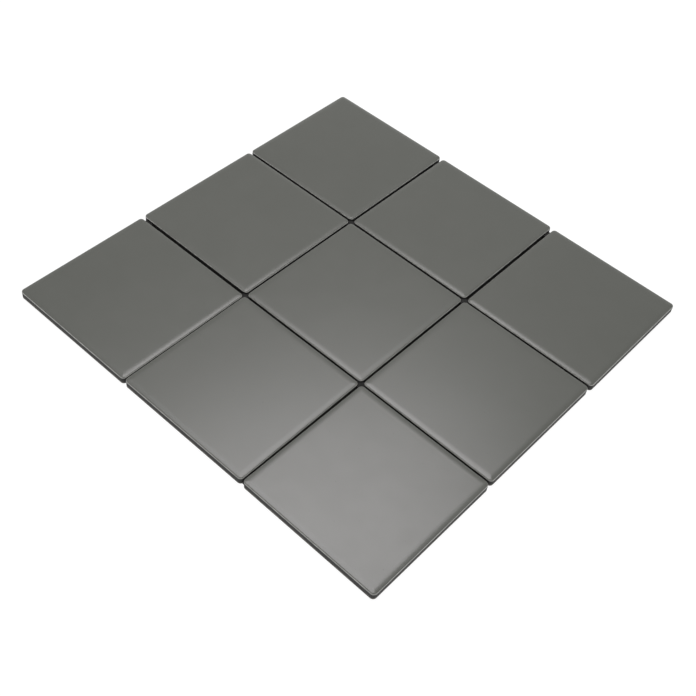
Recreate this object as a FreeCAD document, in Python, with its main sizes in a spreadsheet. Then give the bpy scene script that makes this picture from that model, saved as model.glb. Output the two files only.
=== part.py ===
"""A mosaic sheet: square pressed porcelain tiles, held at their corners by small moulded dots.

Every tile has an upper edge that rounds over, rounded corners in plan, and a back pressed with ribs
for the adhesive. The ribs stop short of the tile's edges, and the dots lie in that relieved margin:
each has a square flange under the tiles and a plug that rises into the joint between their side walls.
The tiles sit a little off their regular places, as they do on a sheet that is laid by hand.
The origin is at the middle of the sheet's back. Z points out of the tiles' faces.
"""
import FreeCAD, Part
import Sketcher
import math
import os

# The driving sizes: millimetres, apart from the two counts and the turn in degrees.
SIZES = (
    ("row_count", 3, "rows of tiles, and tiles in each row"),
    ("tile_side", 98.3, "side of one tile"),
    ("tile_thickness", 6.0, "backs of the ribs to the face"),
    ("joint_width", 1.7, "regular gap between two tiles' side walls"),
    ("lay_offset", 0.25, "one step of a tile off its regular place"),
    ("lay_turn", 0.2, "one step of a tile's turn, in degrees"),
    ("edge_width", 2.5, "how far in the upper edge's rounding reaches, and the corners' radius in plan"),
    ("edge_drop", 0.95, "how far down it reaches"),
    ("edge_nose", 0.8, "radius of the rounding just above the side wall"),
    ("rib_count", 8, "ribs across a tile's back"),
    ("rib_height", 0.6, "how far the ribs stand out of the back"),
    ("rib_margin", 4.5, "relieved margin between a tile's edge and its ribs"),
    ("rib_groove", 3.5, "width of the grooves between the ribs"),
    ("dot_clearance", 0.3, "from a dot's flange to the nearest rib"),
    ("dot_lift", 0.1, "from the plane of the ribs' backs up to a dot"),
    ("flange_cut", 1.2, "how far a flange's corners are cut off"),
    ("plug_radius", 3.0, "radius of a dot's plug, before the tiles shape it"),
    ("plug_recess", 2.0, "from the tiles' faces down to the plug's top"),
    ("edge_dot_margin", 2.0, "from the sheet's edge to the flange of an edge dot"),
)

# How the tiles lie: steps to the right, steps to the back, and steps of turn to the left.
# Each entry is named by the tile's row, counted from the front, and its column, counted from the left.
LAY = {
    (0, 0): (3, -2, 1), (0, 1): (-1, 0, 1), (0, 2): (-2, 0, -1),
    (1, 0): (0, 1, 1), (1, 1): (-1, 0, 0), (1, 2): (-1, -1, -1),
    (2, 0): (-1, 2, 1), (2, 1): (0, 1, 0), (2, 2): (2, -1, 0),
}
MOST_STEPS = 3
QUARTER_TURN = math.pi / 2

# Sizes that follow from the driving ones.
PITCH = "(sizes.tile_side + sizes.joint_width)"
HALF_TILE = "(sizes.tile_side / 2)"
HALF_JOINT = "(sizes.joint_width / 2)"
HALF_FACE = f"({HALF_TILE} - sizes.edge_width)"
SHOULDER = "(sizes.tile_thickness - sizes.edge_drop)"
HALF_RIBS = f"({HALF_TILE} - sizes.rib_margin)"
RIB_PITCH = f"((2 * {HALF_RIBS} + sizes.rib_groove) / sizes.rib_count)"
DOT_REACH = f"(sizes.rib_margin + {HALF_JOINT} - {MOST_STEPS} * sizes.lay_offset - sizes.dot_clearance)"
PLUG_TOP = "(sizes.tile_thickness - sizes.plug_recess)"
HALF_SHEET = f"((sizes.row_count * {PITCH} - sizes.joint_width) / 2)"
EDGE_DOT_OUT = f"({HALF_SHEET} - sizes.edge_dot_margin - {DOT_REACH})"

doc = FreeCAD.newDocument("mosaic_sheet")
sheet = doc.addObject("Spreadsheet::Sheet", "sizes")
for line, (alias, size, note) in enumerate(SIZES, start=1):
    sheet.set(f"A{line}", note)
    sheet.set(f"B{line}", str(size))
    sheet.setAlias(f"B{line}", alias)
doc.recompute()


def value(formula):
    """What a formula of the sheet's cells comes to, in millimetres or as a count."""
    return float(sheet.evalExpression(formula.replace("sizes.", "")))


def origin_item(body, role):
    """One of a body's own origin planes or axes, such as XY_Plane or Z_Axis."""
    return next(item for item in body.Origin.OriginFeatures if item.Role == role)


def new_sketch(body, name, role="XY_Plane", x="0", y="0", rise="0", turn="0"):
    """An empty sketch on one of the body's origin planes, moved in it, along its normal, and turned."""
    sketch = body.newObject("Sketcher::SketchObject", name)
    sketch.AttachmentSupport = (origin_item(body, role), [""])
    sketch.MapMode = "FlatFace"
    sketch.setExpression("AttachmentOffset.Base.x", x)
    sketch.setExpression("AttachmentOffset.Base.y", y)
    sketch.setExpression("AttachmentOffset.Base.z", rise)
    sketch.setExpression("AttachmentOffset.Rotation.Angle", turn)
    sketch.Visibility = False
    return sketch


def drive(sketch, kind, *where, by):
    """Adds a dimension to a sketch and binds it to a formula of the sheet's cells."""
    number = sketch.addConstraint(Sketcher.Constraint(kind, *where, value(by)))
    sketch.renameConstraint(number, f"size_{number}")
    sketch.setExpression(f"Constraints.size_{number}", by)


def hold(sketch, line, end, x, y):
    """Holds one end of a line at a place given by two formulas; None leaves that direction free."""
    if x is not None:
        drive(sketch, "DistanceX", -1, 1, line, end, by=x)
    if y is not None:
        drive(sketch, "DistanceY", -1, 1, line, end, by=y)


def join(sketch, kind, before, after):
    """Joins the end of one line or arc to the start of the next: Coincident, or Tangent for a smooth run."""
    sketch.addConstraint(Sketcher.Constraint(kind, before, 2, after, 1))


def rectangle(sketch, left, front, right, back):
    """A rectangle whose four sides lie at places given by formulas."""
    x0, y0, x1, y1 = value(left), value(front), value(right), value(back)
    corners = ((x0, y0), (x1, y0), (x1, y1), (x0, y1))
    for index in range(4):
        ends = (corners[index], corners[(index + 1) % 4])
        sketch.addGeometry(Part.LineSegment(*[FreeCAD.Vector(x, y, 0) for x, y in ends]), False)
    for index in range(4):
        join(sketch, "Coincident", index, (index + 1) % 4)
        sketch.addConstraint(Sketcher.Constraint("Horizontal" if index % 2 == 0 else "Vertical", index))
    hold(sketch, 0, 1, left, front)
    hold(sketch, 2, 1, right, back)


def disc(sketch, radius):
    """A circle about the sketch's origin."""
    sketch.addGeometry(Part.Circle(FreeCAD.Vector(0, 0, 0), FreeCAD.Vector(0, 0, 1), value(radius)), False)
    sketch.addConstraint(Sketcher.Constraint("Coincident", 0, 3, -1, 1))
    drive(sketch, "Radius", 0, by=radius)


def rounded_square(sketch, half_side, radius):
    """A square about the sketch's origin, with a tangent arc at each corner."""
    half, bend = value(half_side), value(radius)
    reach = half - bend
    for index in range(4):
        angle = QUARTER_TURN * (index - 1)
        towards = FreeCAD.Vector(round(math.cos(angle)), round(math.sin(angle)), 0)
        along = FreeCAD.Vector(-towards.y, towards.x, 0)
        side = (towards * half - along * reach, towards * half + along * reach)
        circle = Part.Circle((towards + along) * reach, FreeCAD.Vector(0, 0, 1), bend)
        sketch.addGeometry(Part.LineSegment(*side), False)
        sketch.addGeometry(Part.ArcOfCircle(circle, angle, angle + QUARTER_TURN), False)
    for index in range(0, 8, 2):
        join(sketch, "Tangent", index, index + 1)
        join(sketch, "Tangent", index + 1, (index + 2) % 8)
        sketch.addConstraint(Sketcher.Constraint("Vertical" if index in (2, 6) else "Horizontal", index))
        drive(sketch, "Radius", index + 1, by=radius)
    hold(sketch, 0, 1, None, f"-{half_side}")
    hold(sketch, 2, 1, half_side, None)
    hold(sketch, 4, 1, None, half_side)
    hold(sketch, 6, 1, f"-{half_side}", None)


def extrude(body, kind, sketch, length, down=False, both_ways=False):
    """A Pad or a Pocket of a sketch, as long as a formula says."""
    feature = body.newObject(f"PartDesign::{kind}", sketch.Name + "_" + kind.lower())
    feature.Profile = sketch
    feature.setExpression("Length", length)
    feature.Reversed = down
    feature.Midplane = both_ways
    return feature


def cut_corners(body, feature, size):
    """Cuts the upright edges of a pad off straight."""
    upright = [f"Edge{number}" for number, edge in enumerate(feature.Shape.Edges, start=1)
               if abs(edge.tangentAt(edge.FirstParameter).z) > 0.99]
    chamfer = body.newObject("PartDesign::Chamfer", feature.Name + "_corners")
    chamfer.Base = (feature, upright)
    chamfer.setExpression("Size", size)
    doc.recompute()


def revolve(body, sketch, axis, degrees):
    """A sketch turned about an axis of its own or of the body."""
    turned = body.newObject("PartDesign::Revolution", sketch.Name + "_turned")
    turned.Profile = sketch
    turned.ReferenceAxis = axis
    turned.Angle = degrees
    return turned


def repeat_along(body, feature, role, count, length):
    """A row of copies of a feature, the first and the last a given length apart."""
    row = body.newObject("PartDesign::LinearPattern", feature.Name + "_row")
    row.Originals = [feature]
    row.Direction = (origin_item(body, role), [""])
    row.setExpression("Occurrences", count)
    row.setExpression("Length", length)
    body.Tip = row


def repeat_round(body, features, count):
    """Copies of features, evenly spaced about the body's upright axis."""
    ring = body.newObject("PartDesign::PolarPattern", features[0].Name + "_ring")
    ring.Originals = features
    ring.Axis = (origin_item(body, "Z_Axis"), [""])
    ring.Angle = 360
    ring.Occurrences = count
    body.Tip = ring


def new_body(label, x, y, turn="0"):
    """A body whose place on the sheet follows the sheet's sizes."""
    body = doc.addObject("PartDesign::Body", label)
    body.Label = label
    body.setExpression("Placement.Base.x", x)
    body.setExpression("Placement.Base.y", y)
    body.setExpression("Placement.Rotation.Angle", turn)
    return body


def edge_section(sketch):
    """The section through a tile's rim, outwards from the line where its rounding leaves the flat face.

    The rounding is two tangent arcs: a wide and gentle one beside the face, and a tight nose above the wall.
    """
    width, drop, nose = value("sizes.edge_width"), value("sizes.edge_drop"), value("sizes.edge_nose")
    base, shoulder, top = value("sizes.rib_height"), value(SHOULDER), value("sizes.tile_thickness")
    wide = ((width - nose) ** 2 + drop ** 2 - nose ** 2) / (2 * (drop - nose))
    meet = math.atan2(wide - drop, width - nose)
    up = FreeCAD.Vector(0, 0, 1)
    tight_circle = Part.Circle(FreeCAD.Vector(width - nose, shoulder, 0), up, nose)
    wide_circle = Part.Circle(FreeCAD.Vector(0, top - wide, 0), up, wide)
    spots = [FreeCAD.Vector(x, y, 0) for x, y in ((0, base), (width, base), (width, shoulder), (0, top))]
    sketch.addGeometry([Part.LineSegment(spots[0], spots[1]), Part.LineSegment(spots[1], spots[2]),
                        Part.ArcOfCircle(tight_circle, 0, meet), Part.ArcOfCircle(wide_circle, meet, QUARTER_TURN),
                        Part.LineSegment(spots[3], spots[0])], False)
    below, wall, tight, gentle, inside = range(5)
    join(sketch, "Coincident", below, wall)
    join(sketch, "Tangent", wall, tight)
    join(sketch, "Tangent", tight, gentle)
    join(sketch, "Coincident", gentle, inside)
    join(sketch, "Coincident", inside, below)
    sketch.addConstraint(Sketcher.Constraint("Horizontal", below))
    sketch.addConstraint(Sketcher.Constraint("Vertical", wall))
    # The gentle arc is centred below the face's edge, so it leaves the face smoothly.
    sketch.addConstraint(Sketcher.Constraint("PointOnObject", gentle, 3, -2))
    drive(sketch, "Radius", tight, by="sizes.edge_nose")
    hold(sketch, below, 1, "0", "sizes.rib_height")
    hold(sketch, wall, 1, "sizes.edge_width", None)
    hold(sketch, wall, 2, None, SHOULDER)
    hold(sketch, inside, 1, "0", "sizes.tile_thickness")


def rounded_rim(body):
    """The rim round the tile's core: the section drawn straight along one side, turned round one corner,
    and both repeated four times about the tile's middle.
    """
    side = new_sketch(body, "side_section", role="XZ_Plane", x=HALF_FACE)
    edge_section(side)
    side_pad = extrude(body, "Pad", side, f"2 * {HALF_FACE}", both_ways=True)
    doc.recompute()
    corner = new_sketch(body, "corner_section", role="XZ_Plane", x=HALF_FACE, rise=f"-{HALF_FACE}")
    edge_section(corner)
    corner_turned = revolve(body, corner, (corner, ["V_Axis"]), 90)
    doc.recompute()
    repeat_round(body, [side_pad, corner_turned], 4)
    doc.recompute()


def ribbed_back(body):
    """The ribs: one raised field under the tile, crossed by a row of grooves."""
    field = new_sketch(body, "rib_field", rise="sizes.rib_height")
    rectangle(field, f"-{HALF_RIBS}", f"-{HALF_RIBS}", HALF_RIBS, HALF_RIBS)
    extrude(body, "Pad", field, "sizes.rib_height", down=True)
    doc.recompute()
    first = new_sketch(body, "groove")
    far = f"({RIB_PITCH} - {HALF_RIBS})"
    rectangle(first, f"({far} - sizes.rib_groove)", f"-{HALF_RIBS}", far, HALF_RIBS)
    groove = extrude(body, "Pocket", first, "sizes.rib_height", down=True)
    doc.recompute()
    repeat_along(body, groove, "X_Axis", "sizes.rib_count - 1", f"{RIB_PITCH} * (sizes.rib_count - 2)")


def tile(label, place):
    """One pressed tile: its core, the rounded rim about it and its ribbed back."""
    body = new_body(label, *place)
    core = new_sketch(body, "core", rise="sizes.rib_height")
    rectangle(core, f"-{HALF_FACE}", f"-{HALF_FACE}", HALF_FACE, HALF_FACE)
    extrude(body, "Pad", core, "sizes.tile_thickness - sizes.rib_height")
    doc.recompute()
    rounded_rim(body)
    ribbed_back(body)
    return body


def dot(label, x, y, neighbours):
    """One moulded dot: a flange and a plug, cut where the side walls of its tiles stand."""
    body = new_body(label, x, y)
    flange = new_sketch(body, "flange", rise="sizes.dot_lift")
    rectangle(flange, f"-{DOT_REACH}", f"-{DOT_REACH}", DOT_REACH, DOT_REACH)
    flange_pad = extrude(body, "Pad", flange, "sizes.rib_height - sizes.dot_lift")
    doc.recompute()
    cut_corners(body, flange_pad, "sizes.flange_cut")
    plug = new_sketch(body, "plug", rise="sizes.rib_height")
    disc(plug, "sizes.plug_radius")
    extrude(body, "Pad", plug, f"{PLUG_TOP} - sizes.rib_height")
    doc.recompute()
    for number, (tile_x, tile_y, tile_turn) in enumerate(neighbours):
        wall = new_sketch(body, f"tile_wall_{number}", x=f"{tile_x} - ({x})", y=f"{tile_y} - ({y})",
                          rise="sizes.rib_height", turn=tile_turn)
        rounded_square(wall, HALF_TILE, "sizes.edge_width")
        extrude(body, "Pocket", wall, "sizes.tile_thickness", down=True)
        doc.recompute()
    return body


def tile_place(row, column):
    """A tile's middle and its turn, as formulas: its regular place in the grid, and how it lies there."""
    right, back, turn = LAY.get((row, column), (0, 0, 0))
    return (f"({column} - (sizes.row_count - 1) / 2) * {PITCH} + ({right}) * sizes.lay_offset",
            f"({row} - (sizes.row_count - 1) / 2) * {PITCH} + ({back}) * sizes.lay_offset",
            f"({turn}) * sizes.lay_turn")


def lay_tiles(count):
    """The tiles, row by row from the front, each row from the left."""
    return [tile(f"tile_{row + 1}_{column + 1}", tile_place(row, column))
            for row in range(count) for column in range(count)]


def place_dots(count):
    """A dot at each crossing of the joints, and one near each joint's two ends."""
    dots = []
    last = count - 1
    for joint in range(1, count):
        line = f"({joint} - sizes.row_count / 2) * {PITCH}"
        for other in range(1, count):
            across = f"({other} - sizes.row_count / 2) * {PITCH}"
            corners = [tile_place(row, column) for row in (joint - 1, joint) for column in (other - 1, other)]
            dots.append(dot(f"dot_{joint}_{other}", across, line, corners))
        for name, x, y, tiles in (
                ("front", line, f"-{EDGE_DOT_OUT}", ((0, joint - 1), (0, joint))),
                ("back", line, EDGE_DOT_OUT, ((last, joint - 1), (last, joint))),
                ("left", f"-{EDGE_DOT_OUT}", line, ((joint - 1, 0), (joint, 0))),
                ("right", EDGE_DOT_OUT, line, ((joint - 1, last), (joint, last)))):
            dots.append(dot(f"dot_{name}_{joint}", x, y, [tile_place(*spot) for spot in tiles]))
    return dots


row_count = int(value("sizes.row_count"))
pieces = lay_tiles(row_count) + place_dots(row_count)
doc.recompute()

for item in doc.Objects:
    if "Invalid" in item.State or "Error" in item.State:
        raise RuntimeError(f"{item.Label} failed: {item.State}")
for piece in pieces:
    if piece.Shape.isNull() or not piece.Shape.isValid():
        raise RuntimeError(f"{piece.Label} has no valid shape")

os.makedirs("parts", exist_ok=True)
for piece in pieces:
    piece.Shape.exportStep(f"parts/{piece.Label}.step")
    print(piece.Label, f"{piece.Shape.Volume:.1f} mm3, {len(piece.Shape.Faces)} faces")
box = Part.makeCompound([piece.Shape for piece in pieces]).BoundBox
print(f"the sheet is {box.XLength:.2f} x {box.YLength:.2f} x {box.ZLength:.2f} mm, from z {box.ZMin:.2f}")
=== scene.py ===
# %% [markdown]
# # A mosaic sheet of glazed porcelain tiles
#
# The sheet is nine square tiles of pressed porcelain, three rows of three. Small moulded dots hold
# the tiles together at their corners, so that the sheet is laid in one go. The faces carry a dark
# grey satin glaze. The ribbed backs are bare fired clay.
#
# The tiles and the dots come ready made, in metres, with the sheet's back on the ground plane and
# the faces upwards. This lesson gives them their finishes, puts them on a pale floor under soft
# light, and looks at them from above one corner. All lengths in it are metres.

import math

import bpy
from mathutils import Matrix, Quaternion, Vector


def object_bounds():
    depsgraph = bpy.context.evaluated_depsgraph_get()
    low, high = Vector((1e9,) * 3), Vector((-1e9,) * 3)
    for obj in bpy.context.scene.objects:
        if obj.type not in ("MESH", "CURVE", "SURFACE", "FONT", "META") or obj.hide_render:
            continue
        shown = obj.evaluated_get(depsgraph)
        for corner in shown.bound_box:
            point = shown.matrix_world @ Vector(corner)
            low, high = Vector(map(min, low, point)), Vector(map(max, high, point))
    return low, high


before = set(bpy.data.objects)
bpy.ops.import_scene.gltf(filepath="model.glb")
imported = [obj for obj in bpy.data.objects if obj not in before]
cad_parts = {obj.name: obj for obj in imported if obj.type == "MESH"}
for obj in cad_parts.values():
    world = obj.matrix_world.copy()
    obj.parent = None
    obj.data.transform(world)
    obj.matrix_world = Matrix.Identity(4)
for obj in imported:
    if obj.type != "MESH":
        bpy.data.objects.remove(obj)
cad_low, cad_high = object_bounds()

TILES = sorted(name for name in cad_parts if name.startswith("tile_"))
DOTS = sorted(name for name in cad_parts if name.startswith("dot_"))
print(len(TILES), "tiles and", len(DOTS), "dots")
print("the sheet is", [round(v, 4) for v in cad_high - cad_low], "m")

# %% [markdown]
# ## Sizes read off the tiles
#
# The finish changes with height, with bare clay below and glaze above, and it changes near the side
# walls. The sizes for that could be typed in again, but then they would go wrong when the tile
# changes. Here they are read off the tiles' own points. The lowest level is the back of the ribs,
# and the next one is the back between them. A tile that lies slightly turned takes up a little more
# room, so the narrowest one gives the true side.

# %% Levels and the side of a tile
levels = sorted({round(point.co.z, 6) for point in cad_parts[TILES[0]].data.vertices})
RIB_BACK, TILE_BACK, TILE_FACE = levels[0], levels[1], levels[-1]
TILE_SIDE = min(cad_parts[name].dimensions.x for name in TILES)
print("ribs at", RIB_BACK, "back at", TILE_BACK, "face at", TILE_FACE, "side", round(TILE_SIDE, 4))

# %% [markdown]
# ## The camera
#
# The sheet is seen from above its near right corner, with the camera turned a little about its own
# line of sight. A camera can be placed by hand until the picture looks right. Angles about a point
# on the sheet are clearer: an azimuth, an elevation, a distance, and a roll.

# %% The camera above one corner
LENS = 55.46
SENSOR = 36.0
NEAREST_SEEN = 0.01
AZIMUTH, ELEVATION, ROLL = (math.radians(angle) for angle in (37.204, 49.392, 7.029))
DISTANCE = 0.66771
LOOK_AT = Vector((0.02246, -0.0314, 0.0))

away = Vector((
    math.sin(AZIMUTH) * math.cos(ELEVATION),
    -math.cos(AZIMUTH) * math.cos(ELEVATION),
    math.sin(ELEVATION),
))
camera = bpy.data.objects.new("camera", bpy.data.cameras.new("camera"))
camera.data.lens = LENS
camera.data.sensor_width = SENSOR
camera.data.clip_start = NEAREST_SEEN
camera.location = LOOK_AT + away * DISTANCE
camera.rotation_mode = "QUATERNION"
camera.rotation_quaternion = away.to_track_quat("Z", "Y") @ Quaternion((0, 0, 1), ROLL)
bpy.context.scene.collection.objects.link(camera)
bpy.context.scene.camera = camera
print("camera at", [round(v, 3) for v in camera.location], "m")

# %% [markdown]
# ## Small helpers for shader trees
#
# A finish is a tree of nodes. These helpers add a node with its values, join sockets, and do one
# step of arithmetic, so that a tree reads like a recipe. A value given as a socket is joined, and a
# value given as a number is written down. The same could be clicked together in the editor, but a
# recipe can be read, compared and run again.


# %% Helpers for shader trees
def feed(tree, socket, value):
    """Joins another node's socket to this one, or writes a plain value on it."""
    if isinstance(value, bpy.types.NodeSocket):
        tree.links.new(value, socket)
    else:
        socket.default_value = value


def add(tree, kind, settings=None, **inputs):
    """One node, with its settings and with its inputs by name; an underscore stands for a space."""
    node = tree.nodes.new(kind)
    for name, value in (settings or {}).items():
        setattr(node, name, value)
    for name, value in inputs.items():
        feed(tree, node.inputs[name.replace("_", " ")], value)
    return node


def work_out(tree, operation, *values):
    """One step of arithmetic on numbers or sockets."""
    node = tree.nodes.new("ShaderNodeMath")
    node.operation = operation
    for socket, value in zip(node.inputs, values):
        feed(tree, socket, value)
    return node.outputs[0]


print("helpers:", feed.__name__, add.__name__, work_out.__name__)

# %% Helpers for masks and colours
# A Mix node has a set of sockets for each kind of data. These are the ones it uses for colours.
MIX_SHARE, MIX_FIRST, MIX_SECOND, MIX_RESULT = 0, 6, 7, 2


def between(tree, value, low, high, start=0.0, end=1.0):
    """A smooth step: start below low, end above high."""
    node = add(tree, "ShaderNodeMapRange", {"interpolation_type": "SMOOTHSTEP"}, Value=value)
    for name, number in (("From Min", low), ("From Max", high), ("To Min", start), ("To Max", end)):
        feed(tree, node.inputs[name], number)
    return node.outputs["Result"]


def blend_colour(tree, share, first, second):
    """A colour between two others: the first at share 0, the second at share 1."""
    node = add(tree, "ShaderNodeMix", {"data_type": "RGBA"})
    for socket, value in ((MIX_SHARE, share), (MIX_FIRST, first), (MIX_SECOND, second)):
        feed(tree, node.inputs[socket], value)
    return node.outputs[MIX_RESULT]


def new_material(name):
    """A material with an empty tree and its output node."""
    material = bpy.data.materials.new(name)
    material.use_nodes = True
    material.node_tree.nodes.clear()
    return material, material.node_tree, material.node_tree.nodes.new("ShaderNodeOutputMaterial")


print("helpers:", between.__name__, blend_colour.__name__, new_material.__name__)

# %% [markdown]
# ## The floor
#
# The sheet lies on a pale surface that fades into a white surround. A floor lit until it clips would
# over-light the tiles too. Here the floor adds its own white only where the camera or a reflection
# sees it, and for the light that it throws back at the tiles it stays plain pale paint, so the
# sheet's shadow is kept. Under the sheet itself it adds nothing, so the joints stay dark. That dark
# square ends a little inside the sheet, because the tiles' corners are rounded.

# %% Where the floor is seen, and where the sheet covers it
FLOOR_SIZE = 6.0
FLOOR_PAINT = (0.5, 0.5, 0.5, 1)
SEEN_PAINT = (0.10, 0.10, 0.10, 1)
SEEN_GLOW = 0.94
SHADE_INSET = 0.0025

bpy.ops.mesh.primitive_plane_add(size=FLOOR_SIZE, location=(0, 0, cad_low.z))
floor = bpy.context.object
floor.name = "floor"

floor_paint, tree, output = new_material("floor_paint")
path = tree.nodes.new("ShaderNodeLightPath").outputs
seen = work_out(tree, "MAXIMUM", path["Is Camera Ray"], path["Is Glossy Ray"])
seen = work_out(tree, "MAXIMUM", seen, path["Is Transmission Ray"])
position = tree.nodes.new("ShaderNodeNewGeometry").outputs["Position"]
ground = add(tree, "ShaderNodeSeparateXYZ", Vector=position).outputs
uncovered = 0.0
for axis, reach in (("X", cad_high.x), ("Y", cad_high.y)):
    past = work_out(tree, "GREATER_THAN", work_out(tree, "ABSOLUTE", ground[axis]), reach - SHADE_INSET)
    uncovered = work_out(tree, "MAXIMUM", uncovered, past)
print("the floor is", FLOOR_SIZE, "m wide")

# %% The floor's paint
plain = add(tree, "ShaderNodeBsdfDiffuse", Color=FLOOR_PAINT)
dim = add(tree, "ShaderNodeBsdfDiffuse", Color=SEEN_PAINT)
strength = work_out(tree, "MULTIPLY", uncovered, SEEN_GLOW)
glow = add(tree, "ShaderNodeEmission", Color=(1, 1, 1, 1), Strength=strength)
dim_and_glow = tree.nodes.new("ShaderNodeAddShader")
tree.links.new(dim.outputs[0], dim_and_glow.inputs[0])
tree.links.new(glow.outputs[0], dim_and_glow.inputs[1])
choice = add(tree, "ShaderNodeMixShader", Fac=seen)
tree.links.new(plain.outputs[0], choice.inputs[1])
tree.links.new(dim_and_glow.outputs[0], choice.inputs[2])
tree.links.new(choice.outputs[0], output.inputs["Surface"])
floor.data.materials.append(floor_paint)
print("floor paint:", len(tree.nodes), "nodes")

# %% [markdown]
# ## The light
#
# One large soft lamp hangs high behind the sheet. The nearest tile mirrors its lower edge towards the
# camera, which makes the broad glow there and the light bands along the rounded edges. The rest of
# the light comes from all round, as in a pale room: stronger from the walls, near the horizon, and
# weaker from overhead. The rounded noses of the tiles mirror the walls, and so they show as thin
# light lines. Single low lamps would do that too, but they would light the side walls too strongly.

# %% The lamp
LAMP_PLACE = Vector((-0.250, 0.165, 1.100))
LAMP_WIDTH, LAMP_LENGTH = 0.64, 1.00
LAMP_POWER = 8.6
LAMP_COLOUR = (1.0, 0.970, 0.995)

backwards = LAMP_PLACE.normalized()
across = Vector((0, 1, 0)).cross(backwards).normalized()
along = backwards.cross(across)
lamp = bpy.data.objects.new("lamp", bpy.data.lights.new("lamp", "AREA"))
lamp.data.shape = "ELLIPSE"
lamp.data.size = LAMP_WIDTH
lamp.data.size_y = LAMP_LENGTH
lamp.data.energy = LAMP_POWER
lamp.data.color = LAMP_COLOUR
lamp.location = LAMP_PLACE
lamp.rotation_euler = Matrix((across, along, backwards)).transposed().to_euler()
bpy.context.scene.collection.objects.link(lamp)
print("lamp", round(math.degrees(math.asin(backwards.z))), "degrees up, seen from the sheet")

# %% The light all round
ROOM_WALLS, OVERHEAD = 1.60, 0.52
WALLS_END, OVERHEAD_START = 0.20, 0.60

world = bpy.data.worlds.new("surround")
bpy.context.scene.world = world
world.use_nodes = True
tree = world.node_tree
looking = tree.nodes.new("ShaderNodeTexCoord").outputs["Generated"]
upwards = add(tree, "ShaderNodeSeparateXYZ", Vector=looking).outputs["Z"]
background = tree.nodes["Background"].inputs
feed(tree, background["Color"], (1, 1, 1, 1))
feed(tree, background["Strength"], between(tree, upwards, WALLS_END, OVERHEAD_START, ROOM_WALLS, OVERHEAD))
print("light from the walls", ROOM_WALLS, "and from overhead", OVERHEAD)

# %% [markdown]
# ## Effects that several finishes share
#
# Fired glaze, bare clay and moulded rubber all have a fine grain, a few small specks, and soft
# patches where the surface is a little duller. Each effect is made once, as a group with its own
# inputs, and every finish sets it to its own scale. Copies in each finish would drift apart.


# %% Making a group and using it
def new_group(name, numbers, outputs):
    """A shader group that reads a place in metres and some numbers, and puts out numbers."""
    group = bpy.data.node_groups.new(name, "ShaderNodeTree")
    group.interface.new_socket("Place", in_out="INPUT", socket_type="NodeSocketVector")
    for label, value in numbers.items():
        group.interface.new_socket(label, in_out="INPUT", socket_type="NodeSocketFloat").default_value = value
    for label in outputs:
        group.interface.new_socket(label, in_out="OUTPUT", socket_type="NodeSocketFloat")
    return group, group.nodes.new("NodeGroupInput").outputs, group.nodes.new("NodeGroupOutput").inputs


def use(tree, group, place, **numbers):
    """Places a group in a material, with its own numbers, and gives its output."""
    node = tree.nodes.new("ShaderNodeGroup")
    node.node_tree = group
    feed(tree, node.inputs["Place"], place)
    for name, value in numbers.items():
        feed(tree, node.inputs[name], value)
    return node.outputs[0]


print("helpers:", new_group.__name__, use.__name__)

# %% [markdown]
# The grain is a soft noise with its middle at zero, so that it moves a surface neither up nor down
# on the whole. Its size and its depth are lengths on the real surface. A noise node's own scale
# counts waves for each metre, so the group divides one by the length.

# %% The group for a fine grain
GRAIN_DETAIL, GRAIN_ROUGHNESS = 2.0, 0.55
NOISE_MIDDLE = 0.5

fine_grain, given, result = new_group("fine_grain", {"Size": 0.001, "Depth": 0.00001}, ["Height"])
per_metre = work_out(fine_grain, "DIVIDE", 1.0, given["Size"])
noise = add(
    fine_grain, "ShaderNodeTexNoise",
    Vector=given["Place"], Scale=per_metre, Detail=GRAIN_DETAIL, Roughness=GRAIN_ROUGHNESS,
)
centred = work_out(fine_grain, "SUBTRACT", noise.outputs[0], NOISE_MIDDLE)
feed(fine_grain, result["Height"], work_out(fine_grain, "MULTIPLY", centred, given["Depth"]))
print(fine_grain.name, "has", len(fine_grain.nodes), "nodes")

# %% [markdown]
# Specks are single small spots, such as an iron grain in the clay or a pin hole in the glaze. A noise
# that is cut off at a level makes blots of any shape. Here space is divided into cells, and a chosen
# share of the cells gets one round spot each. The spots differ in size, and their rims are soft.

# %% The group for specks
SMALLEST_SPECK = 0.4
SPECK_CORE = 0.5

specks, given, result = new_group("specks", {"Spacing": 0.005, "Reach": 0.0003, "Share": 0.5}, ["Mask"])
per_metre = work_out(specks, "DIVIDE", 1.0, given["Spacing"])
cells = add(specks, "ShaderNodeTexVoronoi", Vector=given["Place"], Scale=per_metre)
chance = add(specks, "ShaderNodeSeparateColor", Color=cells.outputs["Color"])
picked = work_out(specks, "LESS_THAN", chance.outputs[0], given["Share"])
from_centre = work_out(specks, "MULTIPLY", cells.outputs["Distance"], given["Spacing"])
radius = work_out(specks, "ADD", chance.outputs[1], SMALLEST_SPECK)
radius = work_out(specks, "MULTIPLY", given["Reach"], radius)
core = work_out(specks, "MULTIPLY", radius, SPECK_CORE)
spot = between(specks, from_centre, core, radius, 1.0, 0.0)
feed(specks, result["Mask"], work_out(specks, "MULTIPLY", spot, picked))
print(specks.name, "has", len(specks.nodes), "nodes")

# %% [markdown]
# Soft patches come from the hand and the kiln: a spray that lies thicker here, a flame that is hotter
# there. They have no edges, so the same kind of noise is eased from nothing to all.

# %% The group for soft patches
PATCH_DETAIL, PATCH_ROUGHNESS = 3.0, 0.5
PATCH_LOW, PATCH_HIGH = 0.3, 0.7

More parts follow.
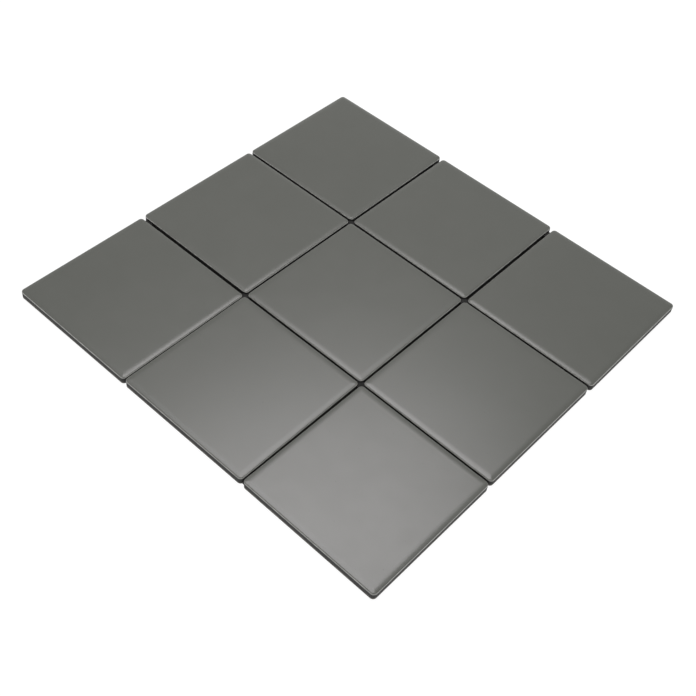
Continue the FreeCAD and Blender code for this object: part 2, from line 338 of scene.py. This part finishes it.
soft_patches, given, result = new_group("soft_patches", {"Size": 0.03}, ["Share"])
per_metre = work_out(soft_patches, "DIVIDE", 1.0, given["Size"])
noise = add(
    soft_patches, "ShaderNodeTexNoise",
    Vector=given["Place"], Scale=per_metre, Detail=PATCH_DETAIL, Roughness=PATCH_ROUGHNESS,
)
feed(soft_patches, result["Share"], between(soft_patches, noise.outputs[0], PATCH_LOW, PATCH_HIGH))
print("groups:", [group.name for group in bpy.data.node_groups])

# %% [markdown]
# ## The satin glaze on pressed clay
#
# The tile is pressed from clay powder, sprayed with a dark glaze from above, and fired once. The
# glaze is a thin coat of dark glass with very fine crystals in it, so it shines softly. The rounded
# nose is painted a lighter grey, partly glaze run thin and partly a painted highlight. The side walls
# are painted nearly black as painted shade, and the back stays bare. Masks from the height on the
# tile tell these places apart. A finish for each face would need the mesh to be split, and it would
# leave hard borders that the real glaze doesn't have.

# %% Places on the tile
GLAZE_HEM = TILE_BACK + 0.0012
HEM_WAVE = 0.0009
NOSE_TOP, NOSE_FOOT = TILE_FACE - 0.00025, TILE_FACE - 0.00095
NOSE_TOP_FADE, NOSE_FOOT_FADE = 0.0003, 0.0002
RIB_LOW, RIB_HIGH = RIB_BACK + 0.00005, RIB_BACK + 0.0003

tile_finish, tree, output = new_material("satin_glaze_on_clay")
coordinates = tree.nodes.new("ShaderNodeTexCoord").outputs
place = coordinates["Object"]
level = add(tree, "ShaderNodeSeparateXYZ", Vector=place).outputs["Z"]

wave = work_out(tree, "MULTIPLY", use(tree, soft_patches, place, Size=0.007), HEM_WAVE)
glazed = between(tree, work_out(tree, "ADD", level, wave), GLAZE_HEM, GLAZE_HEM + HEM_WAVE)
on_face = between(tree, level, NOSE_TOP - NOSE_TOP_FADE, NOSE_TOP)
above_foot = between(tree, level, NOSE_FOOT - NOSE_FOOT_FADE, NOSE_FOOT)
on_nose = work_out(tree, "MULTIPLY", work_out(tree, "SUBTRACT", 1.0, on_face), above_foot)
on_ribs = between(tree, level, RIB_LOW, RIB_HIGH, 1.0, 0.0)
print("the glaze ends about", round(1000 * (GLAZE_HEM - RIB_BACK), 2), "mm above the ribs' backs")

# %% [markdown]
# The glaze is a dark grey with a little green in it. No two tiles fire quite alike, and one tile has
# slightly paler patches, so the shade moves between two near colours, half by the tile and half by
# the place. Iron from the clay comes through as faint specks. The side walls are painted nearly
# black, a painted shade that darkens the joints and the outer walls. Over the nose the colour turns
# a lighter grey, partly glaze run thin and partly a painted highlight, more so in some places.

# %% The glaze's colour
GLAZE_COLOUR = (0.0700, 0.0732, 0.0632, 1)
PALE_GLAZE_COLOUR = (0.0745, 0.0776, 0.0674, 1)
# painted highlight: the nose's light grey is partly glaze run thin and partly a painted highlight line
NOSE_THIN_GLAZE_AND_HIGHLIGHT_COLOUR = (0.330, 0.330, 0.310, 1)
# painted shade: the side walls are painted nearly black, so the joints and the outer walls look dark
PAINTED_WALL_SHADE_COLOUR = (0.010, 0.010, 0.009, 1)
IRON_COLOUR = (0.020, 0.018, 0.015, 1)
TILE_SHARE = 0.5
IRON_IN_GLAZE = 0.55
LEAST_NOSE_THIN_GLAZE_AND_HIGHLIGHT = 0.65

one_tile = tree.nodes.new("ShaderNodeObjectInfo").outputs["Random"]
patches = use(tree, soft_patches, place, Size=0.035)
shade = work_out(tree, "MULTIPLY", patches, 1.0 - TILE_SHARE)
shade = work_out(tree, "MULTIPLY_ADD", one_tile, TILE_SHARE, shade)
glaze_colour = blend_colour(tree, shade, GLAZE_COLOUR, PALE_GLAZE_COLOUR)
iron = use(tree, specks, place, Spacing=0.0032, Reach=0.00024, Share=0.40)
iron = work_out(tree, "MULTIPLY", iron, IRON_IN_GLAZE)
glaze_colour = blend_colour(tree, iron, glaze_colour, IRON_COLOUR)
# painted shade: below the face the colour turns to the painted wall shade
glaze_colour = blend_colour(tree, on_face, PAINTED_WALL_SHADE_COLOUR, glaze_colour)
# painted highlight over the nose, partly thin glaze, stronger in some places
thin_glaze_and_highlight = use(tree, soft_patches, place, Size=0.004)
thin_glaze_and_highlight = work_out(tree, "MULTIPLY_ADD", thin_glaze_and_highlight, 1.0 - LEAST_NOSE_THIN_GLAZE_AND_HIGHLIGHT, LEAST_NOSE_THIN_GLAZE_AND_HIGHLIGHT)
glaze_colour = blend_colour(tree, work_out(tree, "MULTIPLY", on_nose, thin_glaze_and_highlight), glaze_colour, NOSE_THIN_GLAZE_AND_HIGHLIGHT_COLOUR)
print("glaze from", GLAZE_COLOUR[:3], "to", PALE_GLAZE_COLOUR[:3])

# %% [markdown]
# The back is the bare fired clay, a warm grey with darker clouds and iron specks. Only its ribs touch
# the kiln's rollers, so they carry a pale wash that keeps them from sticking. The wash is patchy,
# because it wears off. It could be a layer of its own, but it has no thickness that shows.

# %% The clay's colour
CLAY_COLOUR = (0.120, 0.112, 0.098, 1)
DARK_CLAY_COLOUR = (0.088, 0.082, 0.072, 1)
WASH_COLOUR = (0.300, 0.290, 0.268, 1)
WASH_LOW, WASH_HIGH = -0.15, 0.60
IRON_IN_CLAY = 0.5

clouds = use(tree, soft_patches, place, Size=0.012)
clay_colour = blend_colour(tree, clouds, DARK_CLAY_COLOUR, CLAY_COLOUR)
wash = between(tree, use(tree, soft_patches, place, Size=0.006), WASH_LOW, WASH_HIGH)
clay_colour = blend_colour(tree, work_out(tree, "MULTIPLY", on_ribs, wash), clay_colour, WASH_COLOUR)
clay_specks = use(tree, specks, place, Spacing=0.0018, Reach=0.0003, Share=0.5)
iron = work_out(tree, "MULTIPLY", clay_specks, IRON_IN_CLAY)
clay_colour = blend_colour(tree, iron, clay_colour, IRON_COLOUR)
colour = blend_colour(tree, glazed, clay_colour, glaze_colour)
print("clay from", DARK_CLAY_COLOUR[:3], "to", CLAY_COLOUR[:3])

# %% [markdown]
# Towards the rim the glaze thins out, which makes a soft shoulder a few millimetres wide. Its drop is
# a tenth of a millimetre, too little for the mesh, but it bends the mirror image of the lamp. It
# follows the distance to the nearest side wall. Generated coordinates run from 0 to 1 across the
# tile's own box, so they give that distance once they are multiplied by the tile's side.

# %% The shoulder near the rim
SHOULDER_START, SHOULDER_END = 0.0008, 0.0042
SHOULDER_DROP = 0.00012
BOX_MIDDLE = 0.5

share = add(tree, "ShaderNodeSeparateXYZ", Vector=coordinates["Generated"]).outputs
inward = TILE_SIDE
for axis in "XY":
    from_middle = work_out(tree, "ABSOLUTE", work_out(tree, "SUBTRACT", share[axis], BOX_MIDDLE))
    to_wall = work_out(tree, "MULTIPLY", work_out(tree, "SUBTRACT", BOX_MIDDLE, from_middle), TILE_SIDE)
    inward = work_out(tree, "MINIMUM", inward, to_wall)
shoulder = between(tree, inward, SHOULDER_START, SHOULDER_END, 0.0, SHOULDER_DROP)
print("the shoulder drops", round(1000 * SHOULDER_DROP, 2), "mm")

# %% [markdown]
# The rest of the relief is a slow unevenness from the press, a finer skin like the peel of a fruit,
# the glaze's crystals, and single pin holes where gas came out in the kiln. The clay is coarser. Its
# grain is the pressed powder. All of it is added up as one height in metres and goes into one bump.
# A chain of bumps would work too, but then no single number is the real height of the surface.

# %% The relief of the glaze and of the clay
PIN_HOLE_DEPTH = 0.00003
PIT_DEPTH = 0.00004

skin = use(tree, fine_grain, place, Size=0.030, Depth=0.000030)
peel = use(tree, fine_grain, place, Size=0.0022, Depth=0.0000070)
crystals = use(tree, fine_grain, place, Size=0.00035, Depth=0.0000025)
pin_holes = use(tree, specks, place, Spacing=0.009, Reach=0.00016, Share=0.35)
glaze_relief = shoulder
for part in (skin, peel, crystals, work_out(tree, "MULTIPLY", pin_holes, -PIN_HOLE_DEPTH)):
    glaze_relief = work_out(tree, "ADD", glaze_relief, part)

powder = use(tree, fine_grain, place, Size=0.0007, Depth=0.00006)
pits = work_out(tree, "MULTIPLY", clay_specks, -PIT_DEPTH)
clay_relief = work_out(tree, "ADD", powder, pits)
bare = work_out(tree, "SUBTRACT", 1.0, glazed)
relief = work_out(
    tree, "ADD",
    work_out(tree, "MULTIPLY", glaze_relief, glazed),
    work_out(tree, "MULTIPLY", clay_relief, bare),
)
bump = add(tree, "ShaderNodeBump", Strength=1.0, Distance=1.0, Height=relief)
print("pin holes", round(1000 * PIN_HOLE_DEPTH, 3), "mm deep, pits", round(1000 * PIT_DEPTH, 3), "mm")

# %% [markdown]
# The gloss tells satin from gloss and matt: the face mirrors the lamp as a broad soft glow, with
# slightly duller patches. The side walls, with their thin dry spray, and the clay are nearly matt.
# A separate coat on top would add a second reflection, which one thin glaze doesn't have.

# %% The gloss, and the tile's shader
GLAZE_GLOSS = (0.285, 0.300)
WALL_GLOSS = 0.80
CLAY_GLOSS = 0.85
WALL_FADE = 0.0005

dull_patches = use(tree, soft_patches, place, Size=0.010)
face_gloss = between(tree, dull_patches, 0.0, 1.0, *GLAZE_GLOSS)
on_wall = between(tree, level, NOSE_FOOT - WALL_FADE, NOSE_FOOT, 1.0, 0.0)
gloss = work_out(tree, "MULTIPLY_ADD", on_wall, WALL_GLOSS - GLAZE_GLOSS[1], face_gloss)
gloss = between(tree, glazed, 0.0, 1.0, CLAY_GLOSS, gloss)
shader = add(
    tree, "ShaderNodeBsdfPrincipled",
    Base_Color=colour, Roughness=gloss, IOR=1.56, Normal=bump.outputs["Normal"],
)
tree.links.new(shader.outputs[0], output.inputs["Surface"])
print(tile_finish.name, "has", len(tree.nodes), "nodes")

# %% [markdown]
# ## The rubber of the dots
#
# The dots are moulded from a dark soft rubber, which mirrors less than glass does. The mould leaves a
# fine even grain, the surface wears a little lighter in places, and dust from the clay settles on it.
# They lie deep in the joints, so one finish with the shared groups is enough.

# %% The rubber
RUBBER_COLOUR = (0.0050, 0.0051, 0.0045, 1)
WORN_RUBBER_COLOUR = (0.0085, 0.0086, 0.0077, 1)
DUST_COLOUR = (0.0400, 0.0380, 0.0330, 1)
DUST_COVER = 0.6
RUBBER_GLOSS = (0.68, 0.86)

rubber, tree, output = new_material("dot_rubber")
place = tree.nodes.new("ShaderNodeTexCoord").outputs["Object"]
patches = use(tree, soft_patches, place, Size=0.0025)
dust = use(tree, specks, place, Spacing=0.0007, Reach=0.00010, Share=0.25)
colour = blend_colour(tree, patches, RUBBER_COLOUR, WORN_RUBBER_COLOUR)
colour = blend_colour(tree, work_out(tree, "MULTIPLY", dust, DUST_COVER), colour, DUST_COLOUR)
gloss = between(tree, patches, 0.0, 1.0, *RUBBER_GLOSS)
grain = use(tree, fine_grain, place, Size=0.00025, Depth=0.000012)
bump = add(tree, "ShaderNodeBump", Strength=1.0, Distance=1.0, Height=grain)
shader = add(
    tree, "ShaderNodeBsdfPrincipled",
    Base_Color=colour, Roughness=gloss, IOR=1.40, Normal=bump.outputs["Normal"],
)
tree.links.new(shader.outputs[0], output.inputs["Surface"])
print(rubber.name, "has", len(tree.nodes), "nodes")

# %% [markdown]
# ## The finishes on the pieces
#
# Every tile and every dot comes with one slot for its finish. The finish goes into that slot. The
# mesh stays as it was made, because its edges and ribs are real shapes already.

# %% Finishes on the pieces
for names, finish in ((TILES, tile_finish), (DOTS, rubber)):
    for name in names:
        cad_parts[name].material_slots[0].material = finish
    print(finish.name, "on", len(names), "pieces")

# %% [markdown]
# ## The colour view
#
# The colours are shown as they are written, without a film look. The sheet's box is noted only at
# the start, before the finishes.

# %% The colour view
bpy.context.scene.view_settings.view_transform = "Standard"
